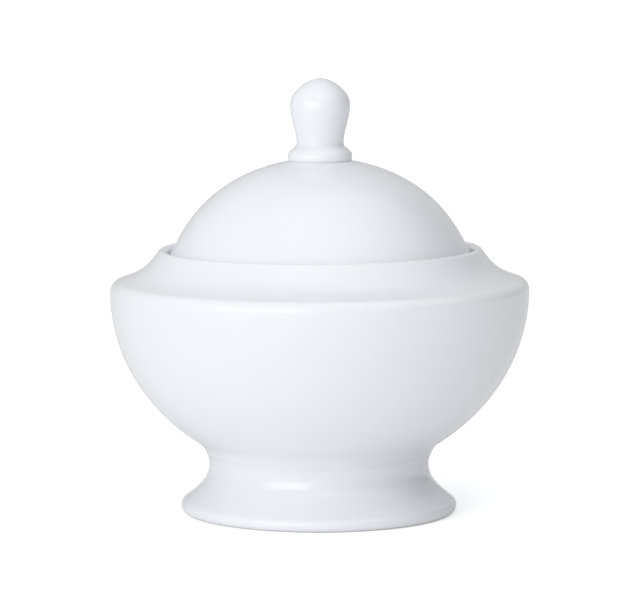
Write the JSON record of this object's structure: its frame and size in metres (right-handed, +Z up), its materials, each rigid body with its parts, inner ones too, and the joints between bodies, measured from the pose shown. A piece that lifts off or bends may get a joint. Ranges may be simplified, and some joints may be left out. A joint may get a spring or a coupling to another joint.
{
  "type": "lidded sugar bowl",
  "caption": "Lidded sugar bowl in white glazed porcelain: deep round body on a flared pedestal foot, with a domed lid that lifts off by its knob.",
  "frame": {"origin": "centre of the foot's standing ring, on the table", "axes": "+Z up along the axis of turning, from the foot to the knob; X and Y level, and alike because every piece is turned"},
  "size_m": [0.1204, 0.1204, 0.125],
  "materials": {
    "bowl": "gloss",
    "pedestal_foot": "gloss",
    "lid": "gloss",
    "knob": "gloss"
  },
  "bodies": {
    "base": {"bowl": "bowl", "pedestal_foot": "pedestal_foot"},
    "lid": {"lid": "lid", "knob": "knob"}
  },
  "joints": [
    {"name": "lid_lift", "type": "slide", "parent": "base", "child": "lid", "axis": [0, 0, 1], "range_m": [0, 0.08]}
  ]
}
